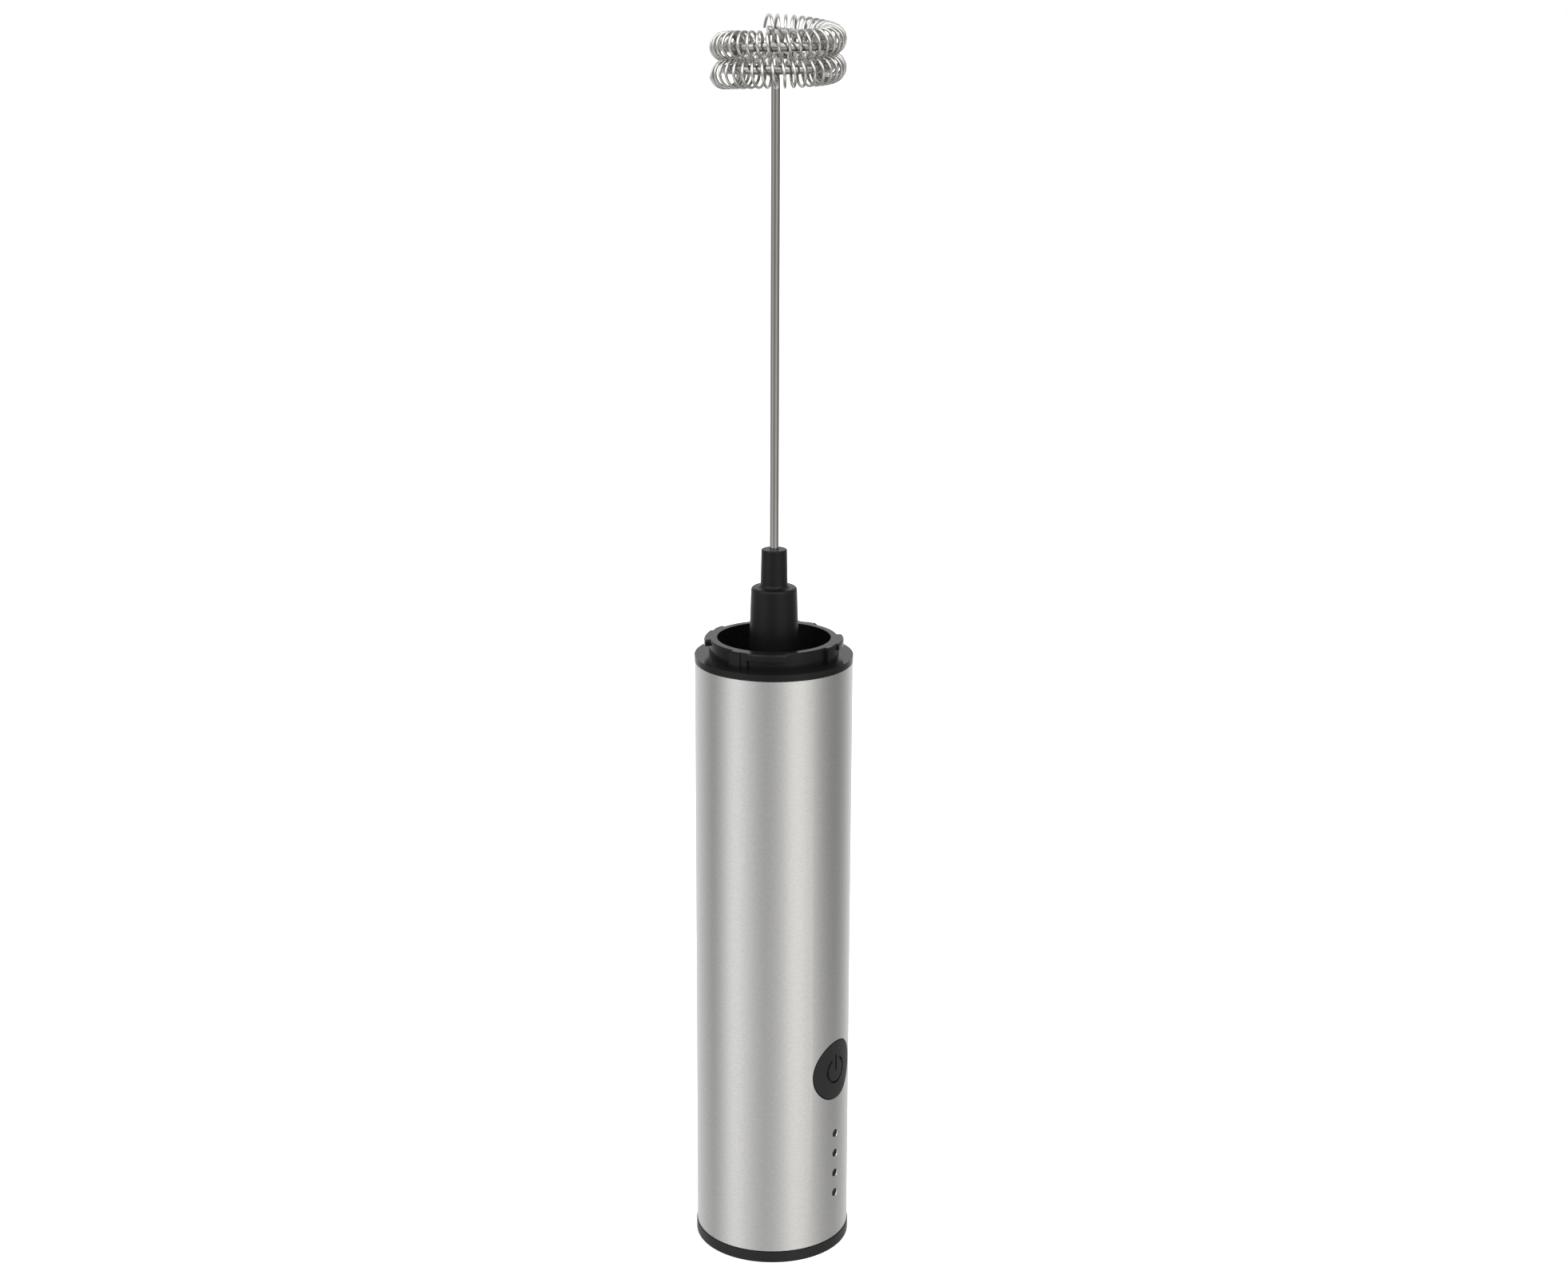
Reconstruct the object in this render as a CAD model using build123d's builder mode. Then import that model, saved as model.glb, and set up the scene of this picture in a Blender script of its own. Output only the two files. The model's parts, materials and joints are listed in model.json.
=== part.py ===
from build123d import *
from math import cos, pi, radians, sin
import os

# Milk frother, in millimetres: +Z up, origin at the middle of the base, button towards -Y.

# Handle
HANDLE_R = 16.0                       # outside of the steel tube
TUBE_IN_R = HANDLE_R - 0.6
RIM_INSIDE_R = HANDLE_R - 0.1          # edges outside this lie on the tube's face
HOLE_CHAMFER = 0.1
CAP_R = HANDLE_R + 0.15               # the base cap stands a little proud
CAP_RIM_H = 2.5
TUBE_TOP = 126.9
SKIRT_R = TUBE_IN_R - 0.1             # plastic skirts that plug into the tube
CAP_SKIRT_TOP = 10.0
CAP_SEAL_Z = 6.4
O_RING_R = 0.68

# Collar at the top of the handle
FLANGE_R = HANDLE_R + 0.05
FLANGE_TOP = TUBE_TOP + 1.3
COLLAR_R = 13.15
COLLAR_TOP = 131.66
WELL_R = 11.5
WELL_FLOOR = 123.5
FLOOR_UNDER = 120.4                   # the motor's front face rests here
COLLAR_SKIRT_BOTTOM = 113.6
COLLAR_SKIRT_IN_R = 14.2
COLLAR_SEAL_Z = 121.9
LUG_COUNT = 4
LUG_START = 175.15                    # angle where the first lug's rib begins
RIB_SPAN = 10.6
NOTCH_SPAN = 6.0                      # shallower step between the rib and the tab
TAB_SPAN = 34.0
RIB_R = COLLAR_R + 0.8
NOTCH_R = COLLAR_R + 0.55
TAB_R = COLLAR_R + 0.95
TAB_H = 1.3
LUG_CHAMFER = 0.3

# Shaft seal
SEAL_R = 4.0
SEAL_BOTTOM = 122.2
JOURNAL_R = 2.0

# Button, lights and the board behind them
BUTTON_Z = 40.9
BUTTON_R = 6.3
BUTTON_GAP = 0.15
BUTTON_FLANGE_BACK_Y = -12.9
BUTTON_BACK_Y = -12.6
SIGN_R = 2.7                          # power sign engraved in the button
SIGN_LINE = 0.5
SIGN_GAP = 2.6
SIGN_BAR_H = 3.6
SIGN_BAR_UP = 1.65                    # middle of the bar above the middle of the button
SIGN_DEPTH = 0.4
LIGHT_TOP_Z = 26.4
LIGHT_PITCH = 4.55
LIGHT_COUNT = 4
LIGHT_R = 0.82
LIGHT_RECESS = 0.12                   # the lights sit just below the tube's face
BOARD_T = 1.2
BOARD_FRONT_Y = -10.4
BOARD_BACK_Y = BOARD_FRONT_Y + BOARD_T
BOARD_W = 16.0
BOARD_BOTTOM = 12.0
BOARD_TOP = 88.0
BOARD_SCREW_ZS = (54.0, 84.0)
CHIPS = (                             # name, height of its middle, width, height, depth, legs a side
    ("control_chip", 62.0, 4.0, 5.0, 1.3, 4),
    ("charge_chip", 70.5, 3.9, 4.9, 1.4, 4),
    ("motor_transistor", 77.5, 2.6, 2.8, 1.1, 2),
)
CAPACITOR_APART = 11.0
CAPACITOR_ZS = (52.0, 62.0, 72.0, 80.0)
INDUCTOR_Z = 46.0

# Charging board and socket in the base
CHARGE_BOARD_Z = 8.6
CHARGE_POSTS = ((-4.6, 8.2), (4.6, 8.2))
USB_W = 8.94
USB_H = 3.26
USB_CORNER_R = 1.6
USB_WALL = 0.3
USB_DEPTH = 6.6
CHARGE_BOARD_W = 13.2
CHARGE_BOARD_L = 22.0

# Motor
MOTOR_R = 12.0
MOTOR_BOTTOM = 90.4
CAN_BOTTOM = 92.4
CAN_WALL = 0.9
MOTOR_BOSS_R = 3.1
MOTOR_BOSS_TOP = 122.0
SHAFT_R = 1.0
BUSH_R = 2.6
MOTOR_SCREW_R = 8.0                   # screw circle on the motor's front face
TERMINAL_XS = (-4.5, 4.5)
TERMINAL_Y = -7.5
TERMINAL_H = 3.8
MAGNET_BOTTOM = 96.0
MAGNET_H = 20.0
MAGNET_T = 1.6
MAGNET_SPAN = 130.0
REAR_BUSH_BOTTOM = MOTOR_BOTTOM - 0.9
REAR_BUSH_H = 2.4
FRONT_BUSH_BOTTOM = 119.3
FRONT_BUSH_H = 2.2
COIL_MIDDLE_R = 5.6                   # middle of each armature coil

# Cell
CELL_R = 9.2
CELL_BOTTOM = 22.5
CELL_TOP = 87.5
CELL_Y = 4.5
TAB_T = 0.3

# Chassis
CHASSIS_R = 15.2
CHASSIS_IN_R = 14.0
CHASSIS_BOTTOM = 10.2
CHASSIS_TOP = 113.4
SPIGOT_TOP = 118.6
HALF_GAP = 0.05
CHASSIS_SCREW_X = 12.1
CHASSIS_SCREW_ZS = (30.0, 80.0)
SHELF_T = 2.0
FOOT_H = 4.0
BOSS_W = 3.7
BOSS_H = 4.2
BASE_SCREWS = ((-11.2, 4.0), (11.2, 4.0))

# Whisk
HUB_BOTTOM = 124.6
HUB_SHOULDER = 142.12
HUB_TOP = 149.88
HUB_BASE_R = 5.2
HUB_SHOULDER_R = 4.62
HUB_NECK_R = 2.74
HUB_TIP_R = 2.59
HUB_ROOT_FILLET = 0.9                 # hollow curve where the neck meets the shoulder
HUB_EDGE_FILLET = 0.6
HUB_TIP_FILLET = 0.25
HEX_R = 2.0                           # middle of the hex to each of its flats
HEX_FIT = 0.06                        # gap each side between spindle and hub
HEX_TOP = 138.0
ROD_R = 0.9
ROD_BOTTOM = 140.2
ROD_BEND_R = 2.0
RING_R = 10.25
RING_TURN = 640.0                     # degrees of ring before it bends inwards
RING_TOP_Z = 250.35
RING_PITCH = 4.15                     # drop of the wire in each turn
RING_START = 46.75                    # angle of the ring's free end
RING_TILT = 0.55                      # rise of the ring at its high side
RING_TILT_AT = 124.75
RING_CENTRE = (0.25, -0.35)           # the ring sits a little off the rod's axis
RING_CORNER = 3.0                     # straight run from the ring to the bend inwards
SPRING_TOP_Z = 251.3
SPRING_PITCH = 5.2
SPRING_TURN = 638.0
SPRING_COIL_R = 2.55                  # to the middle of the spring wire
SPRING_DROOP = 0.6                    # how far the spring's free end hangs
SPRING_DROOP_TURN = 50.0              # how much of the ring it hangs over
SPRING_WIRE_R = 0.3
SPRING_LOOPS = 70
LOOPS_PER_SPAN = 5
POINTS_PER_LOOP = 12


def save(builder, name):
    builder.part.label = name
    export_step(builder.part, f"parts/{name}.step")


def facing(y):
    # The plane at this y that looks towards -Y: its axes are x and z.
    return forward(0, y, 0)


def forward(x, y, z):
    # A plane at this point that looks towards -Y.
    return Plane(origin=(x, y, z), x_dir=(1, 0, 0), z_dir=(0, -1, 0))


def backward(x, y, z):
    # A plane at this point that looks towards +Y.
    return Plane(origin=(x, y, z), x_dir=(-1, 0, 0), z_dir=(0, 1, 0))


def downward(x, y, z):
    # A plane at this point that looks down.
    return Plane(origin=(x, y, z), x_dir=(1, 0, 0), z_dir=(0, 0, -1))


# ---------------------------------------------------------------- handle

def make_handle_tube():
    with BuildPart() as tube:
        with BuildSketch(Plane.XY.offset(CAP_RIM_H)):
            Circle(HANDLE_R)
            Circle(TUBE_IN_R, mode=Mode.SUBTRACT)
        extrude(amount=TUBE_TOP - CAP_RIM_H)
        rims = tube.edges().filter_by(GeomType.CIRCLE)
        chamfer(rims.filter_by(lambda rim: rim.radius > TUBE_IN_R + 0.1), 0.15)
        with BuildSketch(facing(0)):
            with Locations((0, BUTTON_Z)):
                Circle(BUTTON_R + BUTTON_GAP)
            for i in range(LIGHT_COUNT):
                with Locations((0, LIGHT_TOP_Z - i * LIGHT_PITCH)):
                    Circle(LIGHT_R)
        extrude(amount=HANDLE_R + 1, mode=Mode.SUBTRACT)
        holes = tube.edges().filter_by(GeomType.CIRCLE, reverse=True).filter_by(GeomType.LINE, reverse=True)
        outer = holes.filter_by(lambda rim: Vector((rim @ 0).X, (rim @ 0).Y).length > RIM_INSIDE_R)
        chamfer(outer, HOLE_CHAMFER)
    save(tube, "handle_tube")


def cut_seal_groove(z):
    with BuildSketch(Plane.XY.offset(z - O_RING_R - 0.05)) as groove:
        Circle(SKIRT_R + 0.05)
        Circle(TUBE_IN_R - 2 * O_RING_R - 0.05, mode=Mode.SUBTRACT)
    extrude(groove.sketch, amount=2 * O_RING_R + 0.1, mode=Mode.SUBTRACT)


def make_base_cap():
    with BuildPart() as cap:
        with BuildSketch(Plane.XY):
            Circle(CAP_R)
        extrude(amount=CAP_RIM_H)
        fillet(cap.edges().group_by(Axis.Z)[0], 0.4)
        with BuildSketch(Plane.XY.offset(CAP_RIM_H)):
            Circle(SKIRT_R)
            Circle(SKIRT_R - 2.4, mode=Mode.SUBTRACT)
        extrude(amount=CAP_SKIRT_TOP - CAP_RIM_H)
        with BuildSketch(Plane.XY.offset(CAP_RIM_H)):
            with Locations(*BASE_SCREWS):
                Circle(2.2)
        extrude(amount=CAP_SKIRT_TOP - CAP_RIM_H)
        with BuildSketch(Plane.XY.offset(CAP_RIM_H)):
            with Locations(*CHARGE_POSTS):
                Circle(2.0)
        extrude(amount=CHARGE_BOARD_Z - CAP_RIM_H)
        cut_seal_groove(CAP_SEAL_Z)
        # shallow recess and through slot for the charging plug
        with BuildSketch(Plane.XY):
            RectangleRounded(12.8, 7.0, 3.2)
        extrude(amount=0.8, mode=Mode.SUBTRACT)
        with BuildSketch(Plane.XY):
            RectangleRounded(USB_W + 0.2, USB_H + 0.2, 1.7)
        extrude(amount=CAP_RIM_H, mode=Mode.SUBTRACT)
        # the base screws' heads and shanks
        with BuildSketch(Plane.XY):
            with Locations(*BASE_SCREWS):
                Circle(1.75)
        extrude(amount=2.0, mode=Mode.SUBTRACT)
        with BuildSketch(Plane.XY):
            with Locations(*BASE_SCREWS):
                Circle(0.95)
        extrude(amount=CAP_SKIRT_TOP, mode=Mode.SUBTRACT)
        # pilot holes for the charging board's screws
        with BuildSketch(Plane.XY.offset(CHARGE_BOARD_Z)):
            with Locations(*CHARGE_POSTS):
                Circle(0.8)
        extrude(amount=-4.5, mode=Mode.SUBTRACT)
    save(cap, "base_cap")


def make_o_ring(name, z):
    with BuildPart() as ring:
        with BuildSketch(Plane.XZ):
            with Locations((TUBE_IN_R - 0.02 - O_RING_R, z)):
                Circle(O_RING_R)
        revolve(axis=Axis.Z)
    save(ring, name)


# ---------------------------------------------------------------- collar

def add_ring_sector(start, span, radius, bottom, top):
    # A ring sector against the collar's wall, joined to the part being built.
    inner_r = COLLAR_R - 0.4
    with BuildSketch(Plane.XY.offset(bottom)) as sector:
        with BuildLine():
            outer = CenterArc((0, 0), radius, start, span)
            inner = CenterArc((0, 0), inner_r, start, span)
            Line(outer @ 0, inner @ 0)
            Line(outer @ 1, inner @ 1)
        make_face()
    extrude(sector.sketch, amount=top - bottom)


def add_lug(start):
    tab_bottom = COLLAR_TOP - TAB_H
    add_ring_sector(start, RIB_SPAN, RIB_R, FLANGE_TOP - 0.2, COLLAR_TOP)
    add_ring_sector(start + RIB_SPAN, NOTCH_SPAN, NOTCH_R, FLANGE_TOP - 0.2, COLLAR_TOP)
    add_ring_sector(start + RIB_SPAN + NOTCH_SPAN, TAB_SPAN, TAB_R, tab_bottom, COLLAR_TOP)


def make_top_collar():
    with BuildPart() as collar:
        with BuildSketch(Plane.XY.offset(COLLAR_SKIRT_BOTTOM)):
            Circle(SKIRT_R)
        extrude(amount=TUBE_TOP - COLLAR_SKIRT_BOTTOM)
        with BuildSketch(Plane.XY.offset(TUBE_TOP)):
            Circle(FLANGE_R)
        extrude(amount=FLANGE_TOP - TUBE_TOP)
        with BuildSketch(Plane.XY.offset(FLANGE_TOP)):
            Circle(COLLAR_R)
        extrude(amount=COLLAR_TOP - FLANGE_TOP)
        for i in range(LUG_COUNT):
            add_lug(LUG_START + i * 360 / LUG_COUNT)
        chamfer(collar.faces().sort_by(Axis.Z)[-1].outer_wire().edges(), LUG_CHAMFER)
        with BuildSketch(Plane.XY.offset(WELL_FLOOR)):
            Circle(WELL_R)
        extrude(amount=COLLAR_TOP, mode=Mode.SUBTRACT)
        with BuildSketch(Plane.XY.offset(COLLAR_SKIRT_BOTTOM)):
            Circle(COLLAR_SKIRT_IN_R)
        extrude(amount=FLOOR_UNDER - COLLAR_SKIRT_BOTTOM, mode=Mode.SUBTRACT)
        with BuildSketch(Plane.XY.offset(FLOOR_UNDER)):
            Circle(MOTOR_BOSS_R + 0.05)
            with Locations((-MOTOR_SCREW_R, 0), (MOTOR_SCREW_R, 0)):
                Circle(1.1)
        extrude(amount=COLLAR_TOP, mode=Mode.SUBTRACT)
        with BuildSketch(Plane.XY.offset(SEAL_BOTTOM)):
            Circle(SEAL_R)
        extrude(amount=COLLAR_TOP, mode=Mode.SUBTRACT)
        cut_seal_groove(COLLAR_SEAL_Z)
    save(collar, "top_collar")


def make_shaft_seal():
    with BuildPart() as seal:
        with BuildSketch(Plane.XY.offset(SEAL_BOTTOM)):
            Circle(SEAL_R)
            Circle(JOURNAL_R + 0.06, mode=Mode.SUBTRACT)
        extrude(amount=WELL_FLOOR - SEAL_BOTTOM)
        chamfer(seal.edges().group_by(Axis.Z)[-1], 0.2)
    save(seal, "shaft_seal")


# ---------------------------------------------------------------- screws

def make_screws(name, planes, head_r, head_h, shank_r, length):
    # Cross-recess screws. Each plane sits on the top of a head and looks along the screw.
    slot = head_r * 0.32
    with BuildPart() as screws:
        for plane in planes:
            with BuildSketch(plane):
                Circle(head_r)
            extrude(amount=head_h)
            with BuildSketch(plane):
                Circle(shank_r)
            extrude(amount=head_h + length)
            with BuildSketch(plane):
                Rectangle(head_r * 1.2, slot)
                Rectangle(slot, head_r * 1.2)
            extrude(amount=head_h * 0.6, mode=Mode.SUBTRACT)
    save(screws, name)


def make_all_screws():
    head_h = 1.2
    well = [downward(x, 0, WELL_FLOOR + head_h) for x in (-MOTOR_SCREW_R, MOTOR_SCREW_R)]
    make_screws("motor_screws", well, 1.8, head_h, 0.93, 4.6)
    base = [Plane(origin=(x, y, 0.6)) for x, y in BASE_SCREWS]
    make_screws("base_screws", base, 1.7, 1.4, 0.88, 11.6)
    board_top = CHARGE_BOARD_Z + BOARD_T
    charge = [downward(x, y, board_top + head_h) for x, y in CHARGE_POSTS]
    make_screws("charge_board_screws", charge, 1.4, head_h, 0.75, 5.0)
    board = [forward(0, BOARD_BACK_Y + 1.0, z) for z in BOARD_SCREW_ZS]
    make_screws("board_screws", board, 1.5, 1.0, 0.75, 4.4)
    sides = [(x, z) for x in (-CHASSIS_SCREW_X, CHASSIS_SCREW_X) for z in CHASSIS_SCREW_ZS]
    joining = [backward(x, -6.2, z) for x, z in sides]
    make_screws("chassis_screws", joining, 1.5, head_h, 0.8, 8.0)


# ---------------------------------------------------------------- button and lights

def make_power_button():
    low = Plane.XY.offset(BUTTON_Z - 10)
    with BuildPart() as button:
        # flange that stays inside the tube
        with BuildSketch(facing(BUTTON_FLANGE_BACK_Y)):
            with Locations((0, BUTTON_Z)):
                Circle(BUTTON_R + 0.9)
        extrude(amount=HANDLE_R)
        with BuildSketch(low):
            Circle(TUBE_IN_R - 0.05)
        extrude(amount=20, mode=Mode.INTERSECT)
        # face that follows the tube
        with BuildSketch(facing(BUTTON_FLANGE_BACK_Y)):
            with Locations((0, BUTTON_Z)):
                Circle(BUTTON_R)
        extrude(amount=HANDLE_R)
        with BuildSketch(low):
            Circle(HANDLE_R + 0.03)
        extrude(amount=20, mode=Mode.INTERSECT)
        # boss that presses the switch
        with BuildSketch(facing(BUTTON_BACK_Y)):
            with Locations((0, BUTTON_Z)):
                Circle(1.5)
        extrude(amount=0.5)
        # engraved power sign
        with BuildSketch(facing(0)) as sign:
            with Locations((0, BUTTON_Z)):
                Circle(SIGN_R + SIGN_LINE / 2)
                Circle(SIGN_R - SIGN_LINE / 2, mode=Mode.SUBTRACT)
            with Locations((0, BUTTON_Z + SIGN_R)):
                Rectangle(SIGN_GAP, SIGN_R, mode=Mode.SUBTRACT)
            with Locations((0, BUTTON_Z + SIGN_BAR_UP)):
                SlotOverall(SIGN_BAR_H, SIGN_LINE, rotation=90)
        with BuildPart(mode=Mode.PRIVATE) as marks:
            extrude(sign.sketch, amount=HANDLE_R + 1)
            with BuildSketch(low):
                Circle(HANDLE_R - SIGN_DEPTH)
            extrude(amount=20, mode=Mode.SUBTRACT)
        add(marks.part, mode=Mode.SUBTRACT)
    save(button, "power_button")


def make_tact_switch():
    body_front = BOARD_FRONT_Y - 1.5
    plunger_r = 1.6
    with BuildPart() as body:
        with BuildSketch(facing(BOARD_FRONT_Y)):
            with Locations((0, BUTTON_Z)):
                RectangleRounded(5.2, 5.2, 0.4)
        extrude(amount=BOARD_FRONT_Y - body_front)
        with BuildSketch(facing(body_front)):
            with Locations((0, BUTTON_Z)):
                Circle(plunger_r + 0.08)
        extrude(amount=-1.1, mode=Mode.SUBTRACT)
    save(body, "switch_body")
    with BuildPart() as plunger:
        with BuildSketch(facing(BUTTON_BACK_Y + 1.3)):
            with Locations((0, BUTTON_Z)):
                Circle(plunger_r)
        extrude(amount=1.3)
    save(plunger, "switch_plunger")


def light_zs():
    return [LIGHT_TOP_Z - i * LIGHT_PITCH for i in range(LIGHT_COUNT)]


def make_light_guide():
    strip_back = BOARD_FRONT_Y - 1.2
    mid_z = LIGHT_TOP_Z - (LIGHT_COUNT - 1) * LIGHT_PITCH / 2
    strip_h = (LIGHT_COUNT - 1) * LIGHT_PITCH + 5.4
    with BuildPart() as guide:
        with BuildSketch(facing(strip_back)):
            for z in light_zs():
                with Locations((0, z)):
                    Circle(LIGHT_R - 0.04)
        extrude(amount=HANDLE_R)
        with BuildSketch(Plane.XY.offset(5)):
            Circle(HANDLE_R - LIGHT_RECESS)
        extrude(amount=30, mode=Mode.INTERSECT)
        with BuildSketch(facing(strip_back)):
            with Locations((0, mid_z)):
                RectangleRounded(4.0, strip_h, 0.8)
        extrude(amount=1.4)
        with BuildSketch(facing(BOARD_FRONT_Y)):
            with Locations((0, mid_z - strip_h / 2 + 0.6), (0, mid_z + strip_h / 2 - 0.6)):
                Rectangle(3.0, 1.0)
        extrude(amount=1.3)
    save(guide, "light_guide")


def make_leds():
    with BuildPart() as leds:
        with BuildSketch(facing(BOARD_FRONT_Y)):
            for z in light_zs():
                with Locations((0, z)):
                    Rectangle(1.6, 0.8)
        extrude(amount=0.6)
    save(leds, "indicator_leds")


# ---------------------------------------------------------------- electronics

def make_circuit_board():
    with BuildPart() as board:
        with BuildSketch(facing(BOARD_BACK_Y)):
            with Locations((0, (BOARD_BOTTOM + BOARD_TOP) / 2)):
                RectangleRounded(BOARD_W, BOARD_TOP - BOARD_BOTTOM, 1.0)
            for z in BOARD_SCREW_ZS:
                with Locations((0, z)):
                    Circle(0.85, mode=Mode.SUBTRACT)
        extrude(amount=BOARD_T)
    save(board, "circuit_board")


def make_chip(name, z, width, height, depth, pins):
    # A moulded chip with short legs along both upright sides.
    leg_l = 1.0
    leg_w = 0.35
    leg_t = 0.5
    with BuildPart() as chip:
        with BuildSketch(facing(BOARD_FRONT_Y - 0.1)):
            with Locations((0, z)):
                Rectangle(width, height)
        extrude(amount=depth)
        with BuildSketch(facing(BOARD_FRONT_Y)):
            with Locations((0, z)):
                with GridLocations(width + 0.6, height / pins, 2, pins):
                    Rectangle(leg_l, leg_w)
        extrude(amount=leg_t)
    save(chip, name)


def make_small_parts():
    for chip in CHIPS:
        make_chip(*chip)
    with BuildPart() as capacitors:
        with BuildSketch(facing(BOARD_FRONT_Y)):
            with GridLocations(CAPACITOR_APART, 0, 2, 1):
                for z in CAPACITOR_ZS:
                    with Locations((0, z)):
                        Rectangle(1.2, 2.0)
        extrude(amount=0.9)
    save(capacitors, "small_capacitors")
    inductor_h = 2.8
    with BuildPart() as inductor:
        with BuildSketch(backward(0, BOARD_BACK_Y, INDUCTOR_Z)):
            RectangleRounded(5.0, 5.0, 1.2)
        extrude(amount=inductor_h)
        with BuildSketch(backward(0, BOARD_BACK_Y + inductor_h, INDUCTOR_Z)):
            Circle(1.7)
        extrude(amount=-0.3, mode=Mode.SUBTRACT)
    save(inductor, "power_inductor")


def make_charging_port():
    socket_bottom = 0.9
    with BuildPart() as board:
        with BuildSketch(Plane.XY.offset(CHARGE_BOARD_Z)):
            RectangleRounded(CHARGE_BOARD_W, CHARGE_BOARD_L, 1.5)
            with Locations(*CHARGE_POSTS):
                Circle(0.85, mode=Mode.SUBTRACT)
        extrude(amount=BOARD_T)
    save(board, "charging_board")
    with BuildPart() as shell:
        with BuildSketch(Plane.XY.offset(socket_bottom)):
            RectangleRounded(USB_W, USB_H, USB_CORNER_R)
        extrude(amount=CHARGE_BOARD_Z - socket_bottom)
        with BuildSketch(Plane.XY.offset(socket_bottom)):
            RectangleRounded(USB_W - 2 * USB_WALL, USB_H - 2 * USB_WALL, USB_CORNER_R - USB_WALL)
        extrude(amount=USB_DEPTH, mode=Mode.SUBTRACT)
    save(shell, "usb_shell")
    with BuildPart() as tongue:
        with BuildSketch(Plane.XY.offset(socket_bottom + 1.2)):
            RectangleRounded(6.7, 0.7, 0.3)
        extrude(amount=USB_DEPTH - 1.2)
    save(tongue, "usb_tongue")


def make_wires(name, routes, wire_r, bend_r):
    with BuildPart() as wires:
        for route in routes:
            with BuildLine() as path:
                FilletPolyline(*route, radius=bend_r)
            with BuildSketch(Plane(origin=path.line @ 0, z_dir=path.line % 0)):
                Circle(wire_r)
            sweep(path=path.wires()[0])
    save(wires, name)


def make_all_wires():
    terminal_z = MOTOR_BOTTOM - TERMINAL_H
    motor_z = 82.0                    # heights where the wires reach the board
    top_z = 79.5
    bottom_z = 28.0
    link_z = 15.0
    lead_y = -6.3
    link_y = -7.6
    y = TERMINAL_Y
    motor = [((x, y, terminal_z), (x, y, motor_z), (x, BOARD_BACK_Y, motor_z)) for x in TERMINAL_XS]
    make_wires("motor_leads", motor, 0.5, 1.1)
    top = ((0, lead_y, CELL_TOP), (0, lead_y, top_z), (0, BOARD_BACK_Y, top_z))
    bottom = ((0, lead_y, CELL_BOTTOM), (0, lead_y, bottom_z), (0, BOARD_BACK_Y, bottom_z))
    make_wires("cell_leads", [top, bottom], 0.6, 1.2)
    low = CHARGE_BOARD_Z + BOARD_T
    link = [((x, link_y, low), (x, link_y, link_z), (x, BOARD_BACK_Y, link_z)) for x in (-3, -1, 1, 3)]
    make_wires("link_pins", link, 0.3, 0.6)


# ---------------------------------------------------------------- cell

def make_cell():
    with BuildPart() as cell:
        with BuildSketch(Plane.XY.offset(CELL_BOTTOM)):
            with Locations((0, CELL_Y)):
                Circle(CELL_R)
        extrude(amount=CELL_TOP - CELL_BOTTOM)
        fillet(cell.edges().filter_by(GeomType.CIRCLE), 0.7)
    save(cell, "battery_cell")
    for name, z in (("cell_tab_top", CELL_TOP), ("cell_tab_bottom", CELL_BOTTOM - TAB_T)):
        with BuildPart() as tab:
            with BuildSketch(Plane.XY.offset(z)):
                with Locations((0, -0.5)):
                    RectangleRounded(5.0, 14.0, 0.6)
            extrude(amount=TAB_T)
        save(tab, name)


# ---------------------------------------------------------------- chassis

def keep_side(side):
    # Leaves only the front (-1) or the back (+1) half of the part being built.
    with BuildSketch(Plane.XY) as half:
        with Locations((0, side * (HANDLE_R + HALF_GAP))):
            Rectangle(4 * HANDLE_R, 2 * HANDLE_R)
    extrude(half.sketch, amount=COLLAR_TOP, mode=Mode.INTERSECT)


def add_chassis_shell():
    with BuildSketch(Plane.XY.offset(CHASSIS_BOTTOM)) as shell:
        Circle(CHASSIS_R)
        Circle(CHASSIS_IN_R, mode=Mode.SUBTRACT)
    extrude(shell.sketch, amount=CHASSIS_TOP - CHASSIS_BOTTOM)
    with BuildSketch(Plane.XY.offset(CHASSIS_TOP - 3)) as spigot:
        Circle(COLLAR_SKIRT_IN_R - 0.05)
        Circle(MOTOR_R + 0.5, mode=Mode.SUBTRACT)
    extrude(spigot.sketch, amount=SPIGOT_TOP - CHASSIS_TOP + 3)


def add_side_bosses(reach):
    with BuildSketch(facing(reach)) as bosses:
        for z in CHASSIS_SCREW_ZS:
            with Locations((-CHASSIS_SCREW_X, z), (CHASSIS_SCREW_X, z)):
                Rectangle(BOSS_W, BOSS_H)
    extrude(bosses.sketch, amount=2 * reach)
    with BuildSketch(Plane.XY.offset(CHASSIS_BOTTOM)) as round_limit:
        Circle(CHASSIS_R)
    extrude(round_limit.sketch, amount=SPIGOT_TOP - CHASSIS_BOTTOM, mode=Mode.INTERSECT)


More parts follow.
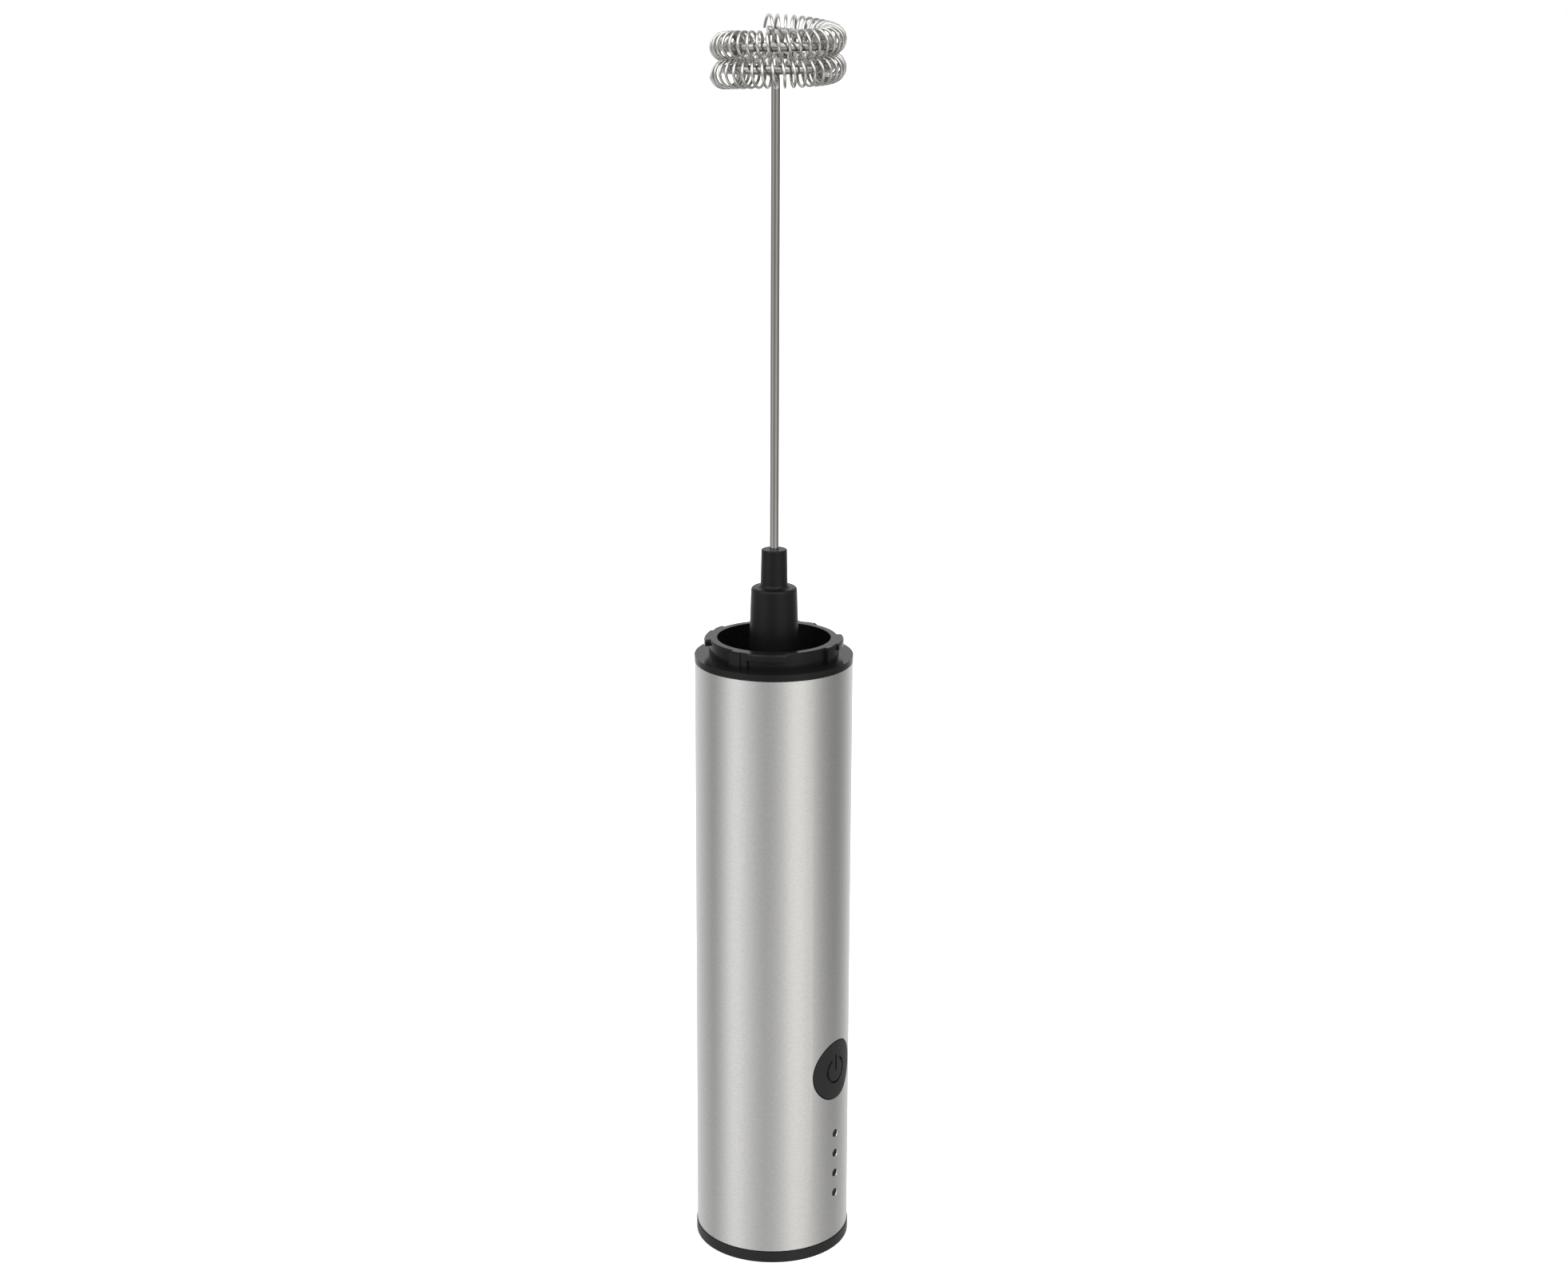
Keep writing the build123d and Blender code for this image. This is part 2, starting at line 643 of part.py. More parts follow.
def make_chassis_back():
    with BuildPart() as back:
        add_chassis_shell()
        add_side_bosses(6.0)
        # shelves under the cell and the motor
        with BuildSketch(Plane.XY.offset(CELL_BOTTOM - TAB_T - SHELF_T)):
            Circle(CHASSIS_R)
        extrude(amount=SHELF_T)
        with BuildSketch(Plane.XY.offset(CELL_TOP + TAB_T + 0.4)):
            Circle(CHASSIS_R)
            Circle(4.2, mode=Mode.SUBTRACT)
        extrude(amount=MOTOR_BOTTOM - CELL_TOP - TAB_T - 0.5)
        # feet for the base screws
        with BuildSketch(Plane.XY.offset(CHASSIS_BOTTOM)):
            Circle(CHASSIS_R)
            Rectangle(17.2, 4 * HANDLE_R, mode=Mode.SUBTRACT)
        extrude(amount=FOOT_H)
        with BuildSketch(Plane.XY.offset(CHASSIS_BOTTOM)):
            with Locations(*BASE_SCREWS):
                Circle(0.9)
        extrude(amount=FOOT_H, mode=Mode.SUBTRACT)
        keep_side(1)
        with BuildSketch(facing(4)):
            for z in CHASSIS_SCREW_ZS:
                with Locations((-CHASSIS_SCREW_X, z), (CHASSIS_SCREW_X, z)):
                    Circle(0.82)
        extrude(amount=5, mode=Mode.SUBTRACT)
    save(back, "chassis_back")


def make_chassis_front():
    window_top = BUTTON_Z + BUTTON_R + 2.3
    head_seat_y = -5.0
    with BuildPart() as front:
        add_chassis_shell()
        add_side_bosses(9.0)
        # bosses that carry the circuit board
        with BuildSketch(facing(BOARD_FRONT_Y)):
            for z in BOARD_SCREW_ZS:
                with Locations((0, z)):
                    Circle(2.0)
        extrude(amount=4.0)
        keep_side(-1)
        # window for the button and the light guide
        with BuildSketch(facing(0)):
            with Locations((0, window_top / 2)):
                Rectangle(16.4, window_top)
        extrude(amount=HANDLE_R, mode=Mode.SUBTRACT)
        with BuildSketch(facing(BOARD_FRONT_Y)):
            for z in BOARD_SCREW_ZS:
                with Locations((0, z)):
                    Circle(0.77)
        extrude(amount=3.4, mode=Mode.SUBTRACT)
        for z in CHASSIS_SCREW_ZS:
            with BuildSketch(facing(head_seat_y)):
                with Locations((-CHASSIS_SCREW_X, z), (CHASSIS_SCREW_X, z)):
                    Circle(1.6)
            extrude(amount=HANDLE_R, mode=Mode.SUBTRACT)
            with BuildSketch(facing(0)):
                with Locations((-CHASSIS_SCREW_X, z), (CHASSIS_SCREW_X, z)):
                    Circle(0.9)
            extrude(amount=HANDLE_R, mode=Mode.SUBTRACT)
    save(front, "chassis_front")


# ---------------------------------------------------------------- motor

def make_motor_can():
    bush_pocket_top = MOTOR_BOSS_TOP - 0.4
    with BuildPart() as can:
        with BuildSketch(Plane.XY.offset(CAN_BOTTOM)):
            Circle(MOTOR_R)
        extrude(amount=FLOOR_UNDER - CAN_BOTTOM)
        with BuildSketch(Plane.XY.offset(FLOOR_UNDER)):
            Circle(MOTOR_BOSS_R)
        extrude(amount=MOTOR_BOSS_TOP - FLOOR_UNDER)
        with BuildSketch(Plane.XY.offset(CAN_BOTTOM)):
            Circle(MOTOR_R - CAN_WALL)
        extrude(amount=FLOOR_UNDER - CAN_WALL - CAN_BOTTOM, mode=Mode.SUBTRACT)
        with BuildSketch(Plane.XY.offset(CAN_BOTTOM)):
            Circle(BUSH_R)
        extrude(amount=bush_pocket_top - CAN_BOTTOM, mode=Mode.SUBTRACT)
        with BuildSketch(Plane.XY.offset(CAN_BOTTOM)):
            Circle(SHAFT_R + 0.3)
            with Locations((-MOTOR_SCREW_R, 0), (MOTOR_SCREW_R, 0)):
                Circle(0.97)
        extrude(amount=COLLAR_TOP, mode=Mode.SUBTRACT)
    save(can, "motor_can")


def make_motor_end_cap():
    with BuildPart() as cap:
        with BuildSketch(Plane.XY.offset(MOTOR_BOTTOM)):
            Circle(MOTOR_R)
        extrude(amount=CAN_BOTTOM - MOTOR_BOTTOM)
        with BuildSketch(Plane.XY.offset(CAN_BOTTOM)):
            Circle(MOTOR_R - CAN_WALL - 0.05)
            Circle(MOTOR_R - CAN_WALL - MAGNET_T, mode=Mode.SUBTRACT)
        extrude(amount=2.0)
        with BuildSketch(Plane.XY.offset(MOTOR_BOTTOM - 1.3)):
            Circle(3.6)
        extrude(amount=1.3)
        with BuildSketch(Plane.XY.offset(REAR_BUSH_BOTTOM)):
            Circle(BUSH_R)
        extrude(amount=CAN_BOTTOM, mode=Mode.SUBTRACT)
    save(cap, "motor_end_cap")


def make_bush(name, bottom, height):
    with BuildPart() as bush:
        with BuildSketch(Plane.XY.offset(bottom)):
            Circle(BUSH_R)
            Circle(SHAFT_R + 0.03, mode=Mode.SUBTRACT)
        extrude(amount=height)
    save(bush, name)


def make_magnets():
    outer_r = MOTOR_R - CAN_WALL
    with BuildPart() as magnets:
        for start in (-MAGNET_SPAN / 2, 180 - MAGNET_SPAN / 2):
            with BuildSketch(Plane.XY.offset(MAGNET_BOTTOM)):
                with BuildLine():
                    outer = CenterArc((0, 0), outer_r - 0.02, start, MAGNET_SPAN)
                    inner = CenterArc((0, 0), outer_r - MAGNET_T, start, MAGNET_SPAN)
                    Line(outer @ 0, inner @ 0)
                    Line(outer @ 1, inner @ 1)
                make_face()
            extrude(amount=MAGNET_H)
    save(magnets, "motor_magnets")


def make_armature():
    core_r = 9.1
    core_bottom = 99.0
    core_h = 14.0
    shoe_span = 98
    tooth_w = 3.0
    with BuildPart() as core:
        with BuildSketch(Plane.XY.offset(core_bottom)):
            Circle(3.0)
            for i in range(3):
                angle = i * 120
                with BuildLine():
                    outer = CenterArc((0, 0), core_r, angle - shoe_span / 2, shoe_span)
                    inner = CenterArc((0, 0), core_r - 1.3, angle - shoe_span / 2, shoe_span)
                    Line(outer @ 0, inner @ 0)
                    Line(outer @ 1, inner @ 1)
                make_face()
                with Locations(Location((0, 0, 0), (0, 0, angle))):
                    with Locations((core_r / 2 - 0.3, 0)):
                        Rectangle(core_r - 1.0, tooth_w)
            Circle(SHAFT_R, mode=Mode.SUBTRACT)
        extrude(amount=core_h)
    save(core, "armature_core")
    with BuildPart() as windings:
        with BuildSketch(Plane.XY.offset(core_bottom - 1.2)):
            with PolarLocations(COIL_MIDDLE_R, 3):
                RectangleRounded(3.6, 5.8, 0.6)
        extrude(amount=core_h + 2.4)
        with BuildSketch(Plane.XY.offset(core_bottom)):
            with PolarLocations(COIL_MIDDLE_R, 3):
                Rectangle(4.2, tooth_w)
        extrude(amount=core_h, mode=Mode.SUBTRACT)
    save(windings, "armature_windings")


def make_commutator_and_brushes():
    commutator_r = 2.6
    commutator_h = 3.6
    bottom = 93.4
    with BuildPart() as commutator:
        with BuildSketch(Plane.XY.offset(bottom)):
            Circle(commutator_r)
            Circle(SHAFT_R, mode=Mode.SUBTRACT)
        extrude(amount=commutator_h)
        with BuildSketch(Plane.XY.offset(bottom)):
            with PolarLocations(commutator_r, 3, start_angle=60):
                Rectangle(1.0, 0.3)
        extrude(amount=commutator_h, mode=Mode.SUBTRACT)
    save(commutator, "commutator")
    with BuildPart() as brushes:
        with BuildSketch(Plane.XY.offset(CAN_BOTTOM)):
            with PolarLocations(commutator_r + 0.3, 2):
                Rectangle(0.4, 2.2)
        extrude(amount=4.2)
    save(brushes, "motor_brushes")


def make_shaft_and_terminals():
    shaft_bottom = MOTOR_BOTTOM - 0.8
    shaft_top = 127.0
    with BuildPart() as shaft:
        with BuildSketch(Plane.XY.offset(shaft_bottom)):
            Circle(SHAFT_R)
        extrude(amount=shaft_top - shaft_bottom)
    save(shaft, "motor_shaft")
    with BuildPart() as terminals:
        with BuildSketch(Plane.XY.offset(MOTOR_BOTTOM - TERMINAL_H)):
            for x in TERMINAL_XS:
                with Locations((x, TERMINAL_Y)):
                    Rectangle(1.8, 0.5)
        extrude(amount=TERMINAL_H)
    save(terminals, "motor_terminals")
    with BuildPart() as spindle:
        with BuildSketch(Plane.XY.offset(SEAL_BOTTOM + 0.2)):
            Circle(JOURNAL_R)
        extrude(amount=HUB_BOTTOM + 0.8 - SEAL_BOTTOM)
        with BuildSketch(Plane.XY.offset(HUB_BOTTOM + 1)):
            RegularPolygon(HEX_R, 6, major_radius=False)
        extrude(amount=HEX_TOP - HUB_BOTTOM - 1)
        chamfer(spindle.edges().group_by(Axis.Z)[-1], 0.4)
        with BuildSketch(Plane.XY.offset(SEAL_BOTTOM)):
            Circle(SHAFT_R)
        extrude(amount=shaft_top - SEAL_BOTTOM, mode=Mode.SUBTRACT)
    save(spindle, "drive_spindle")


# ---------------------------------------------------------------- whisk

def make_whisk_hub():
    with BuildPart() as hub:
        with BuildSketch(Plane.XZ):
            with BuildLine():
                Polyline((0, HUB_BOTTOM), (HUB_BASE_R, HUB_BOTTOM), (HUB_SHOULDER_R, HUB_SHOULDER),
                         (HUB_NECK_R, HUB_SHOULDER), (HUB_TIP_R, HUB_TOP), (0, HUB_TOP), (0, HUB_BOTTOM))
            make_face()
        revolve(axis=Axis.Z)
        step = hub.edges().filter_by(GeomType.CIRCLE).group_by(Axis.Z)[-2].sort_by(SortBy.RADIUS)
        fillet(step[0], HUB_ROOT_FILLET)
        edges = hub.edges().filter_by(GeomType.CIRCLE)
        fillet(edges.filter_by(lambda ring: abs(ring.radius - HUB_SHOULDER_R) < 0.01), HUB_EDGE_FILLET)
        fillet(hub.edges().filter_by(GeomType.CIRCLE).group_by(Axis.Z)[-1], HUB_TIP_FILLET)
        with BuildSketch(Plane.XY.offset(HUB_BOTTOM)):
            RegularPolygon(HEX_R + HEX_FIT, 6, major_radius=False)
        extrude(amount=HEX_TOP - HUB_BOTTOM + 0.4, mode=Mode.SUBTRACT)
        with BuildSketch(Plane.XY.offset(ROD_BOTTOM)):
            Circle(ROD_R)
        extrude(amount=HUB_TOP, mode=Mode.SUBTRACT)
    save(hub, "whisk_hub")


def ring_point(turn, top_z, pitch):
    # A point on the tilted ring's centre line, this many degrees from its free end.
    angle = radians(RING_START - turn)
    tilt = RING_TILT * cos(angle - radians(RING_TILT_AT))
    x = RING_CENTRE[0] + RING_R * cos(angle)
    y = RING_CENTRE[1] + RING_R * sin(angle)
    return Vector(x, y, top_z - pitch * turn / 360 + tilt)


def make_whisk_rod():
    step = 16
    turns = [RING_TURN - i * step for i in range(round(RING_TURN / step) + 1)]
    ring = [ring_point(turn, RING_TOP_Z, RING_PITCH) for turn in turns]
    onward = (ring[0] - ring_point(RING_TURN - 0.1, RING_TOP_Z, RING_PITCH)).normalized()
    corner = ring[0] + onward * RING_CORNER
    top = (0, 0, corner.Z)
    with BuildPart() as rod:
        with BuildLine() as path:
            FilletPolyline((0, 0, ROD_BOTTOM), top, corner, ring[0], radius=ROD_BEND_R)
            Spline(*ring)
        with BuildSketch(Plane.XY.offset(ROD_BOTTOM)):
            Circle(ROD_R)
        sweep(path=path.wires()[0])
    save(rod, "whisk_rod")
    print("rod volume / section x length", rod.part.volume / (pi * ROD_R**2 * path.wires()[0].length))


def spring_point(loops):
    # A point on the spring's wire, this many loops from its free end.
    turn = SPRING_TURN * loops / SPRING_LOOPS
    angle = radians(RING_START - turn)
    phase = 2 * pi * loops
    droop = SPRING_DROOP * max(0, 1 - turn / SPRING_DROOP_TURN) ** 2
    centre = ring_point(turn, SPRING_TOP_Z - droop, SPRING_PITCH)
    outward = Vector(cos(angle), sin(angle), 0)
    return centre + outward * (SPRING_COIL_R * cos(phase)) + Vector(0, 0, SPRING_COIL_R * sin(phase))


def make_whisk_spring():
    # The coil is swept in spans that meet end to end.
    points = LOOPS_PER_SPAN * POINTS_PER_LOOP
    spans = []
    for first in range(0, SPRING_LOOPS, LOOPS_PER_SPAN):
        with BuildPart() as span:
            with BuildLine() as path:
                Spline(*[spring_point(first + i / POINTS_PER_LOOP) for i in range(points + 1)])
            with BuildSketch(Plane(origin=path.line @ 0, z_dir=path.line % 0)):
                Circle(SPRING_WIRE_R)
            sweep(path=path.wires()[0], is_frenet=True)
        spans.append(span.part.solids()[0])
    spring = Compound(children=spans)
    spring.label = "whisk_spring"
    export_step(spring, "parts/whisk_spring.step")


os.makedirs("parts", exist_ok=True)
make_handle_tube()
make_base_cap()
make_o_ring("cap_seal", CAP_SEAL_Z)
make_top_collar()
make_o_ring("collar_seal", COLLAR_SEAL_Z)
make_shaft_seal()
make_all_screws()
make_power_button()
make_tact_switch()
make_light_guide()
make_leds()
make_circuit_board()
make_small_parts()
make_charging_port()
make_all_wires()
make_cell()
make_chassis_back()
make_chassis_front()
make_motor_can()
make_motor_end_cap()
make_bush("front_bearing", FRONT_BUSH_BOTTOM, FRONT_BUSH_H)
make_bush("rear_bearing", REAR_BUSH_BOTTOM, REAR_BUSH_H)
make_magnets()
make_armature()
make_commutator_and_brushes()
make_shaft_and_terminals()
make_whisk_hub()
make_whisk_rod()
make_whisk_spring()
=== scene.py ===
import json
from math import cos, pi, radians, sin

import bpy
from mathutils import Matrix, Vector


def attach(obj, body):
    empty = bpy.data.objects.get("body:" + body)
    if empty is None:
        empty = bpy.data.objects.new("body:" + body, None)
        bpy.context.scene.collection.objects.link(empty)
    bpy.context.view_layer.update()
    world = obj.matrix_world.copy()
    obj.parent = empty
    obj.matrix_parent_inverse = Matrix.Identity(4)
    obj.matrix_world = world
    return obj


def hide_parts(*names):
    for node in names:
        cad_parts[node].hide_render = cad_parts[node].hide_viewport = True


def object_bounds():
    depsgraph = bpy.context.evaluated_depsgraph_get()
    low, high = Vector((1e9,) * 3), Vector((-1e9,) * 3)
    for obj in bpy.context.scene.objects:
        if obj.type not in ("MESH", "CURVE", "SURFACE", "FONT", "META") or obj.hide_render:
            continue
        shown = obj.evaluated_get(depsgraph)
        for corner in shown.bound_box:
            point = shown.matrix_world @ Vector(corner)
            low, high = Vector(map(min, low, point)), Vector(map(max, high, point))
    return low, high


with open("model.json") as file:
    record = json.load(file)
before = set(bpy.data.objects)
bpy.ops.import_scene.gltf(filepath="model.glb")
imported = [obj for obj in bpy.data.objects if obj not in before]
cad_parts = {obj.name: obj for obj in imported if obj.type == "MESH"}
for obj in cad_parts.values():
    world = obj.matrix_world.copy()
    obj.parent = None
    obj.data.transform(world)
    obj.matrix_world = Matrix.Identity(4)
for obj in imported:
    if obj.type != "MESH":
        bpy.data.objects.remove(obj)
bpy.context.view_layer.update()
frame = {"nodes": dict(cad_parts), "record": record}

MM = 0.001

# ------------------------------------------------------------------ camera

VIEW_AZIMUTH = radians(-55.25)        # where the camera stands round the frother
CAMERA_DISTANCE = 497.2 * MM
CAMERA_HEIGHT = 268.6 * MM
CAMERA_PITCH = radians(15.46)
CAMERA_YAW = radians(0.234)
CAMERA_ROLL = radians(0.244)
LENS = 58.68
SENSOR = 36.0
CLIP_NEAR = 0.01
CLIP_FAR = 50.0


def make_camera():
    turn = Matrix.Rotation(VIEW_AZIMUTH, 3, "Z")
    place = turn @ Vector((0, -CAMERA_DISTANCE, CAMERA_HEIGHT))
    ahead = Vector((sin(CAMERA_YAW) * cos(CAMERA_PITCH), cos(CAMERA_YAW) * cos(CAMERA_PITCH),
                    -sin(CAMERA_PITCH)))
    forward = turn @ ahead
    level = forward.cross(Vector((0, 0, 1))).normalized()
    upward = level.cross(forward)
    right = level * cos(CAMERA_ROLL) + upward * sin(CAMERA_ROLL)
    up = upward * cos(CAMERA_ROLL) - level * sin(CAMERA_ROLL)
    data = bpy.data.cameras.new("camera")
    data.sensor_width = SENSOR
    data.sensor_fit = "HORIZONTAL"
    data.lens = LENS
    data.clip_start = CLIP_NEAR
    data.clip_end = CLIP_FAR
    camera = bpy.data.objects.new("camera", data)
    rotation = Matrix((right, up, -forward)).transposed()
    camera.matrix_world = Matrix.Translation(place) @ rotation.to_4x4()
    bpy.context.scene.collection.objects.link(camera)
    bpy.context.scene.camera = camera


# ------------------------------------------------------------------ materials

PATTERN_LOW = 0.3                     # a material's looks change between these values of its noise
PATTERN_HIGH = 0.7
NOISE_ROUGHNESS = 0.6
FINE_DETAIL = 5                       # detail of each noise, in octaves
SOFT_DETAIL = 3
PLAIN_DETAIL = 2

# the tube: noise stretched round it, and reflections that spread up and down
TUBE_ANISOTROPY = 0.8
TUBE_GRAIN_TURN = 0.25                # a quarter turn, in the shader's own unit
TUBE_BRUSHING = (400, 400, 9000)
TUBE_SPECKLE = (1500, 1500, 3500)
TUBE_DARK = (0.60, 0.595, 0.585)
TUBE_LIGHT = (0.66, 0.655, 0.645)
TUBE_ROUGH = (0.23, 0.31)
TUBE_RELIEF = 0.001                   # every relief is a depth in mm
TUBE_RELIEF_SHOWS = 0.2

PLASTIC_CLOUD = 60                    # noise scales are per metre
PLASTIC_GRAIN = 900
PLASTIC_VARIES = 0.12
PLASTIC_ROUGH_VARIES = 0.04
PLASTIC_RELIEF = 0.008
PLASTIC_RELIEF_SHOWS = 0.4

METAL_CLOUD = 80
METAL_GRAIN = 700
METAL_VARIES = 0.08
METAL_ROUGH_VARIES = 0.25             # as a share of the roughness
METAL_RELIEF = 0.004
METAL_RELIEF_SHOWS = 0.3

MOULDED = {
    "cap_plastic": dict(colour=(0.010, 0.010, 0.0105), rough=0.42, specular=0.22),
    "collar_plastic": dict(colour=(0.008, 0.008, 0.0085), rough=0.16, relief=0.002, specular=0.13),
    "hub_plastic": dict(colour=(0.006, 0.006, 0.0065), rough=0.34, relief=0.004, specular=0.17),
    "button_plastic": dict(colour=(0.012, 0.012, 0.0125), rough=0.5, relief=0.010, specular=0.22),
    "light_lens": dict(colour=(0.004, 0.004, 0.004), rough=0.3, relief=0.002, specular=0.15),
    "seal_rubber": dict(colour=(0.016, 0.016, 0.016), rough=0.5),
    "plunger_plastic": dict(colour=(0.03, 0.03, 0.03), rough=0.4),
    "led_plastic": dict(colour=(0.75, 0.73, 0.6), rough=0.2),
    "board_laminate": dict(colour=(0.02, 0.14, 0.05), rough=0.32, grain=300),
    "chip_plastic": dict(colour=(0.02, 0.02, 0.02), rough=0.5),
    "capacitor_ceramic": dict(colour=(0.42, 0.3, 0.18), rough=0.45),
    "inductor_ferrite": dict(colour=(0.08, 0.08, 0.085), rough=0.6),
    "lead_plastic": dict(colour=(0.5, 0.02, 0.02), rough=0.4),
    "cell_wrap": dict(colour=(0.04, 0.16, 0.4), rough=0.3),
    "chassis_plastic": dict(colour=(0.5, 0.5, 0.48), rough=0.5),
    "motor_plastic": dict(colour=(0.55, 0.53, 0.45), rough=0.5),
    "magnet_ferrite": dict(colour=(0.05, 0.05, 0.05), rough=0.6),
}
METALS = {
    "rod_steel": dict(colour=(0.40, 0.385, 0.37), rough=0.12, stretch=(6, 6, 0.4)),
    "spring_steel": dict(colour=(0.60, 0.595, 0.575), rough=0.12),
    "screw_steel": dict(colour=(0.55, 0.55, 0.54), rough=0.28),
    "switch_metal": dict(colour=(0.6, 0.6, 0.59), rough=0.3),
    "socket_steel": dict(colour=(0.62, 0.62, 0.62), rough=0.25),
    "contact_metal": dict(colour=(0.68, 0.66, 0.6), rough=0.28),
    "motor_steel": dict(colour=(0.55, 0.55, 0.54), rough=0.3, stretch=(1, 1, 12)),
    "bearing_bronze": dict(colour=(0.5, 0.34, 0.14), rough=0.4),
    "shaft_steel": dict(colour=(0.66, 0.66, 0.66), rough=0.18),
    "core_steel": dict(colour=(0.3, 0.3, 0.3), rough=0.4, stretch=(1, 1, 30)),
    "winding_copper": dict(colour=(0.6, 0.25, 0.1), rough=0.3, stretch=(1, 1, 20)),
}


class Surface:
    # A Principled material whose colour, roughness and relief come from procedural noise.

    def __init__(self, name, metallic=0.0, anisotropic=0.0, specular=0.5):
        self.material = bpy.data.materials.new(name)
        self.material.use_nodes = True
        self.nodes = self.material.node_tree.nodes
        self.links = self.material.node_tree.links
        self.shader = self.nodes["Principled BSDF"]
        self.shader.inputs["Metallic"].default_value = metallic
        self.shader.inputs["Anisotropic"].default_value = anisotropic
        self.shader.inputs["Specular IOR Level"].default_value = specular
        self.coordinates = self.nodes.new("ShaderNodeTexCoord")

    def noise(self, scale, detail, stretch=(1, 1, 1)):
        mapping = self.nodes.new("ShaderNodeMapping")
        mapping.inputs["Scale"].default_value = stretch
        texture = self.nodes.new("ShaderNodeTexNoise")
        texture.inputs["Scale"].default_value = scale
        texture.inputs["Detail"].default_value = detail
        texture.inputs["Roughness"].default_value = NOISE_ROUGHNESS
        self.links.new(self.coordinates.outputs["Object"], mapping.inputs["Vector"])
        self.links.new(mapping.outputs["Vector"], texture.inputs["Vector"])
        return texture.outputs["Fac"]

    def colour(self, pattern, dark, light):
        node = self.nodes.new("ShaderNodeValToRGB")
        stops = ((PATTERN_LOW, dark), (PATTERN_HIGH, light))
        for element, (place, colour) in zip(node.color_ramp.elements, stops):
            element.position = place
            element.color = (*colour, 1)
        self.links.new(pattern, node.inputs["Fac"])
        self.links.new(node.outputs["Color"], self.shader.inputs["Base Color"])

    def roughness(self, pattern, low, high):
        node = self.nodes.new("ShaderNodeMapRange")
        node.inputs["From Min"].default_value = PATTERN_LOW
        node.inputs["From Max"].default_value = PATTERN_HIGH
        node.inputs["To Min"].default_value = low
        node.inputs["To Max"].default_value = high
        self.links.new(pattern, node.inputs["Value"])
        self.links.new(node.outputs["Result"], self.shader.inputs["Roughness"])

    def bump(self, pattern, depth, strength):
        node = self.nodes.new("ShaderNodeBump")
        node.inputs["Distance"].default_value = depth * MM
        node.inputs["Strength"].default_value = strength
        self.links.new(pattern, node.inputs["Height"])
        self.links.new(node.outputs["Normal"], self.shader.inputs["Normal"])

    def grain_round_z(self):
        # brush marks run round the part, so its reflections spread up and down
        self.shader.inputs["Anisotropic Rotation"].default_value = TUBE_GRAIN_TURN
        node = self.nodes.new("ShaderNodeTangent")
        node.direction_type = "RADIAL"
        node.axis = "Z"
        self.links.new(node.outputs["Tangent"], self.shader.inputs["Tangent"])


def shade(colour, factor):
    return tuple(channel * factor for channel in colour)


def brushed_tube(name):
    steel = Surface(name, metallic=1.0, anisotropic=TUBE_ANISOTROPY)
    steel.grain_round_z()
    brushing = steel.noise(1.0, SOFT_DETAIL, TUBE_BRUSHING)
    speckle = steel.noise(1.0, PLAIN_DETAIL, TUBE_SPECKLE)
    steel.colour(speckle, TUBE_DARK, TUBE_LIGHT)
    steel.roughness(brushing, *TUBE_ROUGH)
    steel.bump(brushing, TUBE_RELIEF, TUBE_RELIEF_SHOWS)
    return steel.material


def moulded(name, colour, rough, relief=PLASTIC_RELIEF, grain=PLASTIC_GRAIN, specular=0.5):
    plastic = Surface(name, specular=specular)
    cloud = plastic.noise(PLASTIC_CLOUD, SOFT_DETAIL)
    grit = plastic.noise(grain, FINE_DETAIL)
    plastic.colour(cloud, shade(colour, 1 - PLASTIC_VARIES), shade(colour, 1 + PLASTIC_VARIES))
    plastic.roughness(grit, rough - PLASTIC_ROUGH_VARIES, rough + PLASTIC_ROUGH_VARIES)
    plastic.bump(grit, relief, PLASTIC_RELIEF_SHOWS)
    return plastic.material


def metal(name, colour, rough, stretch=(1, 1, 1)):
    piece = Surface(name, metallic=1.0)
    cloud = piece.noise(METAL_CLOUD, SOFT_DETAIL, stretch)
    scratch = piece.noise(METAL_GRAIN, FINE_DETAIL, stretch)
    piece.colour(cloud, shade(colour, 1 - METAL_VARIES), shade(colour, 1 + METAL_VARIES))
    piece.roughness(scratch, rough * (1 - METAL_ROUGH_VARIES), rough * (1 + METAL_ROUGH_VARIES))
    piece.bump(scratch, METAL_RELIEF, METAL_RELIEF_SHOWS)
    return piece.material


def make_materials():
    materials = {"tube_steel": brushed_tube("tube_steel")}
    for name, look in MOULDED.items():
        materials[name] = moulded(name, **look)
    for name, look in METALS.items():
        materials[name] = metal(name, **look)
    return materials


def paint_cad_nodes(materials):
    for row in frame["record"]["subparts"]:
        mesh = frame["nodes"][row["node"]].data
        mesh.materials.clear()
        mesh.materials.append(materials[row["material_slot"]])


# ------------------------------------------------------------------ whisk spring

RING_R = 10.25
RING_START = 46.75                    # angle of the ring's free end
RING_TILT = 0.55
RING_TILT_AT = 124.75
RING_CENTRE = (0.25, -0.35)
SPRING_TURN = 638.0
SPRING_TOP_Z = 251.3
SPRING_PITCH = 5.2                    # drop of the ring in each turn
SPRING_LOOPS = 70
SPRING_COIL_R = 2.55
SPRING_WIRE_R = 0.3
DROOP = 0.6                           # the free end of the spring hangs a little
DROOP_TURN = 50.0
POINTS_PER_LOOP = 32
WIRE_SIDES = 12
WIRE_DOME = 0.3                       # how far each end stands out, in wire radii


def ring_point(turn):
    # The middle of the spring's loops, this many degrees along the ring from its free end.
    angle = radians(RING_START - turn)
    x = RING_CENTRE[0] + RING_R * cos(angle)
    y = RING_CENTRE[1] + RING_R * sin(angle)
    droop = DROOP * max(0, 1 - turn / DROOP_TURN) ** 2
    tilt = RING_TILT * cos(angle - radians(RING_TILT_AT))
    return Vector((x, y, SPRING_TOP_Z - droop - SPRING_PITCH * turn / 360 + tilt))


